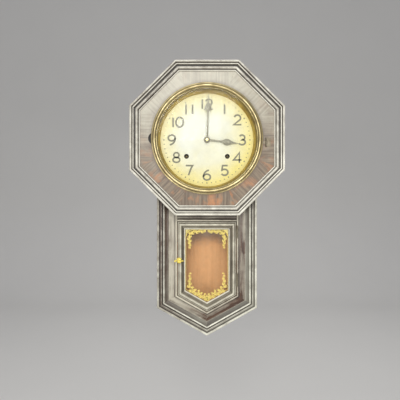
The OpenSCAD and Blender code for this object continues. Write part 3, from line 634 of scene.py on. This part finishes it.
# The left and upper rates in these woods paint light: a side and the top made paler or darker for
# how the lamps fall
moulding_wood = varnished_wood("varnished_moulding", (0.05, 0.035, 0.024), (0.19, 0.15, 0.11),
                               (0.46, 0.44, 0.37), (0.82, 0.8, 0.7), left=-0.8, upper=-2.1,
                               around=DIAL.z, flank=FACE_FRONT - MM)
drop_wood = varnished_wood("varnished_drop", (0.045, 0.026, 0.015), (0.12, 0.08, 0.052),
                           (0.26, 0.25, 0.2), (0.78, 0.77, 0.66), left=-4.8, upper=-2.0,
                           around=DOOR_MIDDLE)
door_wood = varnished_wood("varnished_door", (0.05, 0.035, 0.024), (0.17, 0.13, 0.09),
                           (0.34, 0.32, 0.24), (0.72, 0.69, 0.56), left=1.6, upper=0.6,
                           around=DOOR_MIDDLE, flank=74.6 * MM)
stile_wood = varnished_wood("varnished_stile", (0.035, 0.016, 0.009), (0.11, 0.058, 0.034),
                            (0.42, 0.39, 0.31), (0.6, 0.56, 0.45), bare=0.42, blotch=0.55,
                            left=5.2, upper=3.0, around=DOOR_MIDDLE,
                            flank=CASE_FRONT - 2 * MM)
SIDE_COLOURS = (0.035, 0.02, 0.013), (0.09, 0.055, 0.033), (0.13, 0.105, 0.075), (0.3, 0.25, 0.18)
side_wood = varnished_wood("varnished_side", *SIDE_COLOURS, grain_uv=False)
lined_wood = varnished_wood("varnished_side_board", *SIDE_COLOURS, grain_uv=False,
                            lining=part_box("right_side_board")[0].x + 0.2 * MM)
face_veneer = veneer("cross_banded_veneer")
bare_wood = back_board_wood("bare_back_board", BARE_DARK, BARE_PALE, (0.46, 0.38, 0.31),
                            (0.36, 0.24, 0.14))
bezel_brass = metal("bezel_brass", (0.42, 0.35, 0.19), (0.22, 0.17, 0.08), 0.36, turned=True)
ring_brass = metal("sight_ring_gilt", (0.56, 0.43, 0.13), (0.28, 0.19, 0.05), 0.42, turned=True,
                   shade_under_bezel=0.8)
small_brass = metal("small_brass", (0.9, 0.7, 0.2), (0.5, 0.34, 0.08), 0.26)
dull_brass = metal("dull_brass", (0.26, 0.23, 0.17), (0.12, 0.09, 0.06), 0.5)
hook_brass = metal("hook_brass", (0.74, 0.6, 0.13), (0.36, 0.26, 0.05), 0.34)
nut_brass = metal("nut_brass", (0.36, 0.33, 0.22), (0.2, 0.17, 0.1), 0.45)
# Dark steel for the winding arbors, darkened further as painted shade inside the winding holes
arbor_steel = metal("arbor_steel", (0.16, 0.12, 0.06), (0.05, 0.04, 0.02), 0.45)
# Near black: painted shade for the winding holes
hole_shade_black = paint("winding_hole_shade_black", (0.012, 0.01, 0.008), (0.03, 0.025, 0.018), 0.7, 400.0)
movement_brass = metal("movement_brass", (0.78, 0.6, 0.27), (0.5, 0.34, 0.12), 0.3)
bright_steel = metal("bright_steel", (0.6, 0.6, 0.57), (0.3, 0.27, 0.24), 0.3)
spring_steel = metal("spring_steel", (0.2, 0.22, 0.28), (0.12, 0.1, 0.09), 0.32)
hand_steel = paint("hand_steel", (0.22, 0.21, 0.15), (0.36, 0.34, 0.25), 0.42, 260.0, 0.3)
iron = paint("hammer_iron", (0.05, 0.05, 0.05), (0.14, 0.12, 0.1), 0.55, 200.0, 0.6)
dial_cream = dial_paint("dial_cream")
numeral_ink = paint("numeral_ink", (0.22, 0.215, 0.145), (0.28, 0.27, 0.18), 0.5, 700.0)
gilt = paint("gilt_scroll", (1.0, 0.8, 0.2), (0.86, 0.58, 0.09), 0.42, 420.0, 0.1)
cream_gilt = paint("cream_gilt", (0.94, 0.8, 0.3), (0.84, 0.66, 0.16), 0.5, 300.0)
clear_glass = glass("old_glass")

SLOT_LOOKS = {
    "dark_wood": side_wood, "case_wood": bare_wood, "bezel_brass": small_brass,
    "movement_brass": movement_brass, "dial_paint": dial_cream, "blued_steel": hand_steel,
    "steel": bright_steel, "spring_steel": spring_steel, "glass": clear_glass,
    "hammer_iron": iron,
}
NODE_LOOKS = {
    "left_side_board": lined_wood, "right_side_board": lined_wood,
    "octagon_panel": face_veneer, "hand_nut": nut_brass, "hinge_pins": dull_brass,
    "bezel_hinge_leaf": dull_brass, "bezel_hinge_screws": dull_brass,
    "door_hinge_case_leaves": dull_brass, "door_hinge_door_leaves": dull_brass,
    "time_winding_arbor": arbor_steel, "strike_winding_arbor": arbor_steel,
    "door_hook_screw": hook_brass, "door_hook_pin": hook_brass,
}
for entry in frame["record"]["subparts"]:
    mesh = NODES[entry["node"]].data
    mesh.materials.clear()
    mesh.materials.append(look_of(entry))


# ---------------- pieces of the case
def octagon_mouldings():
    random.seed(3)
    side = 2 * OCTAGON_HALF * math.tan(math.pi / 8)
    mitre = 1 / math.tan(math.radians(67.5))
    builder = Builder()
    for i in range(8):
        out = Vector((math.cos(i * math.pi / 4), math.sin(i * math.pi / 4)))
        along = Vector((-out.y, out.x))

        def place(s, u, f, out=out, along=along):
            p = out * (OCTAGON_HALF - u) + along * (s - side / 2)
            return on_face(p.x, f, p.y)
        moulding_run(builder, octagon_profile(), side, mitre, mitre, place)
    piece = builder.finish("octagon_mouldings_carved", moulding_wood, "case")
    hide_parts("octagon_mouldings")


def drop_mouldings():
    random.seed(5)
    # The octagon's slope cuts the drop's outer edge here; the ends stay a little clear of it
    top = -OCTAGON_HALF + DROP_HALF - OCTAGON_HALF * math.tan(math.pi / 8) - 0.4 * MM
    cove, width = 16.4 * MM, 24.1 * MM    # painted shade lies from the cove to the inner edge, deeper on the right's lower edge
    builder = Builder()
    for side in (-1, 1):
        upright(builder, drop_profile(), 0, top, 1, side, (cove, width, 0.1))
        lower_edge(builder, drop_profile(), 0, side, (cove, width, 0.3 if side > 0 else 0.12))
    piece = builder.finish("drop_mouldings_carved", drop_wood, "case")
    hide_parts("drop_mouldings")


def front_frame():
    """Stiles and rails round the door. The stiles are plain where the octagon covers them."""
    inset = 3 * MM
    opening = 61.7 * MM    # from the middle to the stiles
    width = DROP_HALF - opening - inset
    low, high = -OCTAGON_HALF - MM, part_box("front_stiles")[1][2] - DIAL.z
    plain = [(0, CASE_FRONT - FRAME_THICK), (0, CASE_FRONT), (width, CASE_FRONT),
             (width, CASE_FRONT - FRAME_THICK)]
    builder = Builder()
    for side in (-1, 1):
        random.seed(7 + side)
        upright(builder, stile_profile(width), inset, low, 0, side)
        x = drop_corner(inset)[0]
        random.seed(7 + side)
        moulding_run(builder, plain, high - low, 0, 0,
                     lambda s, u, f, side=side: on_face(side * (x - u), f, high - s),
                     origin=low - high)
        lower_edge(builder, stile_profile(width), inset, side)
    rail_top, rail = -110 * MM, 58.5 * MM
    shelter = 45.2 * MM    # what the octagon covers of the rail, with a painted shadow of the octagon below it
    profile = stile_profile(rail)
    profile[2:2] = [(shelter + step * MM, CASE_FRONT) for step in (0, 0.8, 3.2, 4.4)]
    moulding_run(builder, profile, 2 * opening, 0, 0,
                 lambda s, u, f: on_face(s - opening, f, rail_top - u),
                 painted_shade_band=(shelter + 0.5 * MM, shelter + 3.6 * MM, 0.6))
    piece = builder.finish("front_frame_beaded", stile_wood, "case")
    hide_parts("front_stiles", "front_rails")


def door_stop():
    """A thin strip behind the rail, which covers the gap over the door."""
    random.seed(13)
    builder = Builder()
    width, thick, reach, lap = 14 * MM, 3 * MM, 123 * MM, 4 * MM
    front = CASE_FRONT - FRAME_THICK
    profile = [(0, front - thick), (0, front), (width, front), (width, front - thick)]
    moulding_run(builder, profile, reach, 0, 0,
                 lambda s, u, f: on_face(s - reach / 2, f, width - DOOR_TOP - lap - u))
    piece = builder.finish("door_stop_strip", stile_wood, "case")


def door_frame():
    random.seed(11)
    builder = Builder()
    cove, width = 8.6 * MM, 16 * MM    # painted shade lies from the cove to the glass, deeper on the left
    for side in (-1, 1):
        upright(builder, door_profile(), DOOR_INSET, -DOOR_TOP, 1, side,
                (cove, width, 0.14 if side > 0 else 0.3))
        lower_edge(builder, door_profile(), DOOR_INSET, side)
    half = drop_corner(DOOR_INSET)[0]
    moulding_run(builder, door_profile(), 2 * half, 1, 1,
                 lambda s, u, f: on_face(s - half, f, -DOOR_TOP - u))
    piece = builder.finish("door_frame_moulded", door_wood, "door")
    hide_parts("door_frame")


# ---------------- dial
# The strokes of each numeral, in parts of its height from the middle of its foot
DIGITS = {
    "0": [ellipse(0, 0.5, 0.38, 0.5, 0, 360, 40)],
    "1": [[(0, 0), (0, 1)]],
    "2": [ellipse(0, 0.69, 0.32, 0.31, 165, -38) + [(-0.38, 0), (0.4, 0)]],
    "3": [ellipse(-0.02, 0.745, 0.28, 0.255, 150, -90)
          + ellipse(-0.02, 0.265, 0.34, 0.265, 80, -152)],
    "4": [[(0.2, -0.04), (0.2, 1.0), (-0.4, 0.25), (0.42, 0.25)]],
    "5": [[(0.32, 1), (-0.2, 1), (-0.27, 0.53)] + ellipse(0, 0.31, 0.35, 0.31, 128, -150)],
    "6": [ellipse(0, 0.3, 0.36, 0.3, 0, 360, 36), ellipse(0.27, 0.33, 0.63, 0.68, 182, 96)],
    "7": [[(-0.37, 1), (0.34, 1)] + [(0.34 - 0.42 * t ** 0.8, 1 - t) for t in
                                    [i / 10 for i in range(1, 11)]]],
    "8": [ellipse(0, 0.75, 0.27, 0.25, 0, 360, 32), ellipse(0, 0.26, 0.35, 0.26, 0, 360, 36)],
}
DIGITS["9"] = [[(-x, 1 - y) for x, y in line] for line in DIGITS["6"]]
# Hours painted a little out of the even ring: how far across and up, in millimetres
OUT_OF_PLACE = {1: (0, 0.7), 2: (0, 5), 12: (-2.8, 1)}
INK_FRONT = DIAL_FRONT + 0.1 * MM
INK_BACK = DIAL_FRONT - 0.05 * MM


def numerals():
    height, stroke, ring, spacing = 20 * MM, 3.5 * MM, 72.8 * MM, 13.4 * MM
    builder = Builder()
    for hour in range(1, 13):
        a = math.radians(90 - 30 * hour)
        across, up = OUT_OF_PLACE.get(hour, (0, 0))
        middle = (ring * math.cos(a) + across * MM, ring * math.sin(a) + up * MM)
        text = str(hour)
        for i, digit in enumerate(text):
            shift = (i - (len(text) - 1) / 2) * spacing
            for line in DIGITS[digit]:
                closed = line[0] == line[-1] or math.dist(line[0], line[-1]) < 1e-6
                points = [(middle[0] + shift + x * height, middle[1] + (y - 0.5) * height)
                          for x, y in (line[:-1] if closed else line)]
                ribbon(builder, points, lambda t: stroke, INK_BACK, INK_FRONT, closed)
    piece = builder.finish("dial_numerals", numeral_ink, "case")


def minute_track():
    ring = 88.8 * MM
    builder = Builder()
    for minute in range(60):
        a = math.radians(90 - 6 * minute)
        r = 1.4 * MM if minute % 5 == 0 else 1.1 * MM
        prism(builder, circle(ring * math.cos(a), ring * math.sin(a), r, 16), INK_BACK, INK_FRONT)
    piece = builder.finish("dial_minute_dots", numeral_ink, "case")


# ---------------- gilt border of the door glass
def spiral_line(cx, cy, r0, r1, start, turns, hand):
    """A curve that winds out from radius r0 to r1, anticlockwise where hand is 1."""
    points, n = [], 30
    for i in range(n + 1):
        t = i / n
        r = r0 + (r1 - r0) * t
        a = math.radians(start) + hand * turns * 2 * math.pi * t
        points.append((cx + r * math.cos(a), cy + r * math.sin(a)))
    return points


def leaf(cx, cy, length, width, angle):
    """A pointed outline from (cx, cy), widest a little before its middle."""
    a = math.radians(angle)
    side = [(length * t, width / 2 * math.sin(math.pi * t ** 0.75)) for t in
            [i / 8 for i in range(9)]]
    outline = side + [(x, -y) for x, y in reversed(side[1:-1])]
    return [(cx + x * math.cos(a) - y * math.sin(a), cy + x * math.sin(a) + y * math.cos(a))
            for x, y in outline]


def gilt_border():
    """Scrollwork painted on the back of the door glass, with solid corners at the top."""
    glass_back, coat = 72.78 * MM, 0.1 * MM
    half, top = 44.4 * MM, -184.9 * MM
    corner_z, tip_z, flower_z = -312.6 * MM, -336.4 * MM, -330.5 * MM
    scrolls, corners = Builder(), Builder()

    def layer(builder):
        """Back and front of the next stroke: none lies in the plane of one that it crosses."""
        front = glass_back - len(builder.faces) % 9 * 0.008 * MM
        return front - coat, front

    def draw(builder, outline, side):
        prism(builder, [(side * x, z) for x, z in outline], *layer(builder))

    def line(builder, points, w0, w1, side):
        ribbon(builder, [(side * x, z) for x, z in points], lambda t: w0 + (w1 - w0) * t,
               *layer(builder))

    def vine(path, count, sizes, side, first=1):
        """C-scrolls that curl to either side of a stem in turn, each ending in three leaves."""
        turns = 1.2
        for i in range(count):
            t = (i + 0.5) / count
            ahead, behind = path(min(1, t + 0.02)), path(max(0, t - 0.02))
            here = path(t)
            d = math.atan2(ahead[1] - behind[1], ahead[0] - behind[0])
            hand = first if i % 2 == 0 else -first
            size = (sizes[0] + (sizes[1] - sizes[0]) * t) * MM
            cx = here[0] - math.sin(d) * hand * size * 0.55
            cz = here[1] + math.cos(d) * hand * size * 0.55
            end = math.degrees(d) - hand * 90
            curl = spiral_line(cx, cz, 0.3 * size, size, end - hand * turns * 360, turns, hand)
            line(scrolls, curl, 0.3 * size, 0.55 * size, side)
            draw(scrolls, circle(cx, cz, 0.3 * size, 10), side)
            away = math.radians(end)
            tip = (cx + size * math.cos(away), cz + size * math.sin(away))
            for turn, reach in ((-8, 1.25), (34, 0.95), (-48, 0.9)):
                draw(scrolls, leaf(*tip, reach * size, 0.5 * size, math.degrees(d) + hand * turn),
                     side)

    def top_edge(t):
        return (2 + 27 * t) * MM, top - (4.6 + 1.6 * t * t) * MM

    def shoulder(t):
        a = math.radians(80 - 80 * t)
        return half - 19 * MM + 11.5 * MM * math.cos(a), top - 17.5 * MM + 11.5 * MM * math.sin(a)

    def upper_side(t):
        return half - (7.6 + 1.5 * t) * MM, top - (18 + 23 * t) * MM

    def lower_side(t):
        return half - (9.4 - 1.6 * t) * MM, -275 * MM - 33 * MM * t

    def vee(t, depth):
        run = math.hypot(half, corner_z - tip_z)
        inward = (-(corner_z - tip_z) / run, half / run)
        x = half - 6 * MM - (half - 7 * MM) * t
        z = corner_z + (tip_z - corner_z) * (half - x) / half
        return x + inward[0] * depth * MM, z + inward[1] * depth * MM

    def around_corner(a, inward=0.0):
        wide, high = 16.5 * MM, 15 * MM
        return (half - wide + (wide - inward) * math.sin(a),
                top - high + (high - inward) * math.cos(a))

    for side in (-1, 1):
        hollow = [around_corner(math.pi / 2 * i / 14) for i in range(15)]
        draw(corners, [(half, top)] + list(reversed(hollow)), side)
        line(scrolls, hollow, 0.9 * MM, 0.9 * MM, side)
        for i in range(7):
            bead = around_corner(math.pi / 2 * (i + 0.5) / 7, 1.3 * MM)
            draw(scrolls, circle(*bead, 1.25 * MM, 12), side)
        vine(top_edge, 5, (2.8, 3.2), side)
        vine(shoulder, 3, (3.3, 3.3), side, -1)
        vine(upper_side, 5, (3.4, 1.9), side)
        vine(lower_side, 6, (1.8, 3.5), side, -1)
        vine(lambda t: vee(t, 4.2), 7, (3.3, 3.1), side)
        vine(lambda t: vee(t * 0.86, 10.5), 5, (2.7, 2.2), side, -1)
        line(corners, [(half - 0.2 * MM, top - 15 * MM), (half - 0.2 * MM, corner_z)], 1.3 * MM,
             1.3 * MM, side)
        line(scrolls, [(half - 1.2 * MM, corner_z + 1.2 * MM), (0.2 * MM, tip_z + 1.6 * MM)],
             0.8 * MM, 0.8 * MM, side)
        line(corners, [(0.1 * MM, top - 0.9 * MM), (half - 14 * MM, top - 0.9 * MM)], 1.5 * MM,
             1.5 * MM, side)
    draw(scrolls, circle(0, flower_z - 0.5 * MM, 2.6 * MM, 20), 1)
    for angle, length in ((90, 9), (52, 7), (128, 7), (-90, 5.4), (-62, 4.6), (-118, 4.6)):
        draw(scrolls, leaf(0, flower_z, length * MM, 3.4 * MM, angle), 1)
    piece = scrolls.finish("gilt_scrolls", gilt, "door")
    piece = corners.finish("gilt_corners", cream_gilt, "door")


def winding_holes():
    """Near-black collars between the dial and the front plate, round the winding squares: dark
    pieces that stand in for the shade inside the winding holes.
    """
    builder = Builder()
    for node in ("time_winding_arbor", "strike_winding_arbor"):
        middle = centre(node)
        profile = [(2.75, 70.5), (2.75, 71.3), (4.55, 71.3), (4.55, 82.9), (4.92, 82.9),
                   (4.92, 69.2), (4.55, 69.2), (4.55, 70.5)]
        lathe(builder, [(r * MM, f * MM) for r, f in profile], 48, middle.x - DIAL.x,
              middle.z - DIAL.z)
    piece = builder.finish("winding_hole_collars", hole_shade_black, "case")


def hook():
    """A cast hook with a scalloped rosette over its screw and an eye that drops over the pin."""
    pivot, pin = centre("door_hook_screw"), centre("door_hook_pin")
    cx, cz = pivot.x - DIAL.x, pivot.z - DIAL.z
    px, pz = pin.x - DIAL.x, pin.z - DIAL.z
    back = -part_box("door_hook")[1][1]
    low, high = back, back + MM
    builder = Builder()
    radius, petals, count = 4.9 * MM, 8, 112
    outline = []
    for i in range(count):
        a = 2 * math.pi * i / count
        r = radius + 0.75 * MM * math.cos(petals * a)
        outline.append((r * math.cos(a), r * math.sin(a)))
    # Each ring's size and front value: the petals flatten out towards the boss in the middle
    rings = [(1.0, low), (1.0, low + 0.5 * MM), (0.86, high + 0.1 * MM), (0.64, high + 0.35 * MM),
             (0.5, high + 0.2 * MM), (0.4, high + 0.6 * MM), (0.25, high + 0.6 * MM), (0.25, low)]
    vertices = []
    for scale, front in rings:
        blend = min(1.0, max(0.0, (1.0 - scale) / 0.6))
        for x, z in outline:
            even = radius / math.hypot(x, z) * blend + (1 - blend)
            vertices.append(on_face(cx + x * scale * even, front, cz + z * scale * even))
    builder.add(vertices, skin(count, len(rings), True))
    sweep = [(cx - 4.4 * MM, cz + 0.2 * MM), (cx - 5.4 * MM, cz + 1.7 * MM),
             (px - 0.2 * MM, pz + 2.5 * MM), (px - 1.8 * MM, pz + 1.4 * MM),
             (px - 2.1 * MM, pz - 0.4 * MM), (px - 1.2 * MM, pz - 1.7 * MM)]
    ribbon(builder, sweep, lambda t: (2.0 - 0.8 * t) * MM, low + 0.1 * MM, high - 0.1 * MM)
    for x, z, size in ((5.9, 0.4, 1.5), (7.9, 0.1, 1.1), (-3.6, 5.2, 1.3), (3.6, 5.2, 1.3)):
        prism(builder, circle(cx + x * MM, cz + z * MM, size * MM, 24), low + 0.05 * MM,
              high - 0.05 * MM)
    prism(builder, leaf(cx, cz + 3.4 * MM, 4.8 * MM, 3.6 * MM, 90), low + 0.15 * MM,
          high - 0.1 * MM)
    piece = builder.finish("door_hook_cast", hook_brass, "hook")
    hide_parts("door_hook")


# ---------------- bezel
def bezel():
    """The bezel's ring, and the knuckle that joins it to its hinge pin."""
    seat = FACE_FRONT + 0.4 * MM
    inner, outer = SIGHT_RADIUS / MM, BEZEL_RADIUS / MM
    profile = [(inner, 0), (outer - 0.3, 0), (outer, 0.25), (outer, 0.7), (outer - 0.25, 0.85),
               (outer - 2.4, 0.95)] + arc(106.3, 2.0, 3.95, -14, 150, 22)
    profile += [(102.5, 2.8), (102.5, 0.5), (inner, 0.5)]
    builder = Builder()
    lathe(builder, [(r * MM, seat + f * MM) for r, f in profile], 256)
    hinge_z = centre("bezel_hinge_leaf").z - DIAL.z
    axis_x, knuckle_front = 118.6 * MM, FACE_FRONT + 2.2 * MM
    half, tab_start = 2.8 * MM, BEZEL_RADIUS - 2 * MM
    knuckle = Builder()
    tab = [(tab_start, hinge_z - half), (axis_x, hinge_z - half), (axis_x, hinge_z + half),
           (tab_start, hinge_z + half)]
    prism(knuckle, tab, FACE_FRONT + 0.6 * MM, FACE_FRONT + 1.4 * MM)
    outline = circle(axis_x, 0, 1.6 * MM, 28)
    n = len(outline)
    vertices = []
    for end in (-half, half):
        vertices += [on_face(x, knuckle_front + y, hinge_z + end) for x, y in outline]
    knuckle.add(vertices, [tuple(reversed(range(n))), tuple(range(n, 2 * n))] + skin(n, 2))
    piece = builder.finish("bezel_ring_turned", bezel_brass, "bezel")
    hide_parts("bezel_ring")
    piece = knuckle.finish("bezel_hinge_knuckle", dull_brass, "bezel")


def sight_ring():
    builder = Builder()
    profile = [(96, 83), (96.25, 83.6), (98, 89.4), (99.8, 96.2), (101.2, 101.2), (101.6, 103.2),
               (102, 103.6), (103.2, 103.6), (103.2, 101), (97.6, 83)]
    lathe(builder, [(r * MM, f * MM) for r, f in profile], 256)
    piece = builder.finish("sight_ring_spun", ring_brass, "case")
    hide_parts("sight_ring")


bezel()
sight_ring()
winding_holes()
hook()
for node, width in (("hour_hand", 0.16), ("minute_hand", 0.16), ("hanger_plate", 0.35),
                    ("left_side_board", 0.7), ("right_side_board", 0.7), ("top_board", 0.7),
                    ("bottom_boards", 0.7), ("hand_nut", 0.3), ("pendulum_bob", 0.3),
                    ("strike_hammer", 0.3), ("front_plate", 0.15), ("back_plate", 0.15)):
    eased(node, width * MM)
octagon_mouldings()
drop_mouldings()
front_frame()
door_stop()
door_frame()
numerals()
minute_track()
gilt_border()


# ---------------- stage, light and camera
def stage():
    """A pale floor that bends up into a backdrop."""
    floor_z, back_y, front_y, half, bend, back_top = -1.1, 3.2, -12.0, 12.0, 0.9, 3.4
    line = [(front_y, floor_z)] + [
        (back_y - bend + bend * math.sin(t), floor_z + bend * (1 - math.cos(t)))
        for t in [math.pi / 2 * i / 16 for i in range(17)]] + [(back_y, back_top)]
    vertices = [(x, y, z) for y, z in line for x in (-half, half)]
    faces = [(2 * i, 2 * i + 1, 2 * i + 3, 2 * i + 2) for i in range(len(line) - 1)]
    mesh = bpy.data.meshes.new("studio_floor")
    mesh.from_pydata(vertices, [], faces)
    for polygon in mesh.polygons:
        polygon.use_smooth = True
    floor = bpy.data.objects.new("studio_floor", mesh)
    bpy.context.scene.collection.objects.link(floor)
    mesh.materials.append(studio("pale_floor", (0.72, 0.71, 0.69)))


def area_light(name, place, target, size, power, colour):
    data = bpy.data.lights.new(name, "AREA")
    data.shape = "DISK"
    data.size = size
    data.energy = power
    data.color = colour
    lamp = bpy.data.objects.new(name, data)
    lamp.location = place
    lamp.rotation_euler = (Vector(target) - Vector(place)).to_track_quat("-Z", "Y").to_euler()
    bpy.context.scene.collection.objects.link(lamp)


stage()
area_light("key", (-0.1, -2.1, 0.5), (0, 0, -0.25), 0.7, 21.8, (1.0, 0.995, 0.96))
area_light("top", (-0.1, -1.3, 0.95), (0, 0, -0.15), 1.0, 3.8, (1.0, 1.0, 0.98))
for name, side, power in (("low_right", 1, 5.5), ("low_left", -1, 6.6)):
    area_light(name, (side * 0.6, -1.75, -0.42), (0, 0, -0.38), 0.6, power, (1.0, 0.97, 0.93))
area_light("rear", (0.3, 1.7, 1.7), (0, 0, -0.25), 1.6, 20, (1.0, 0.99, 0.97))
world = bpy.data.worlds.new("pale_room")
world.use_nodes = True
background = world.node_tree.nodes["Background"]
background.inputs["Color"].default_value = (0.95, 0.96, 1.0, 1)
background.inputs["Strength"].default_value = 0.42
bpy.context.scene.world = world

rim_front, viewing_distance = FACE_FRONT + 12 * MM, 0.8
aim_x, aim_z = DIAL.x - 14.3 * MM, DIAL.z - 124.1 * MM
camera_data = bpy.data.cameras.new("camera")
camera_data.lens = 36.3
camera_data.sensor_width = 36
camera = bpy.data.objects.new("camera", camera_data)
camera.location = (aim_x, -rim_front - viewing_distance, aim_z)
camera.rotation_euler = (math.radians(90), 0, 0)
bpy.context.scene.collection.objects.link(camera)
bpy.context.scene.camera = camera
bpy.context.scene.view_settings.view_transform = "Standard"
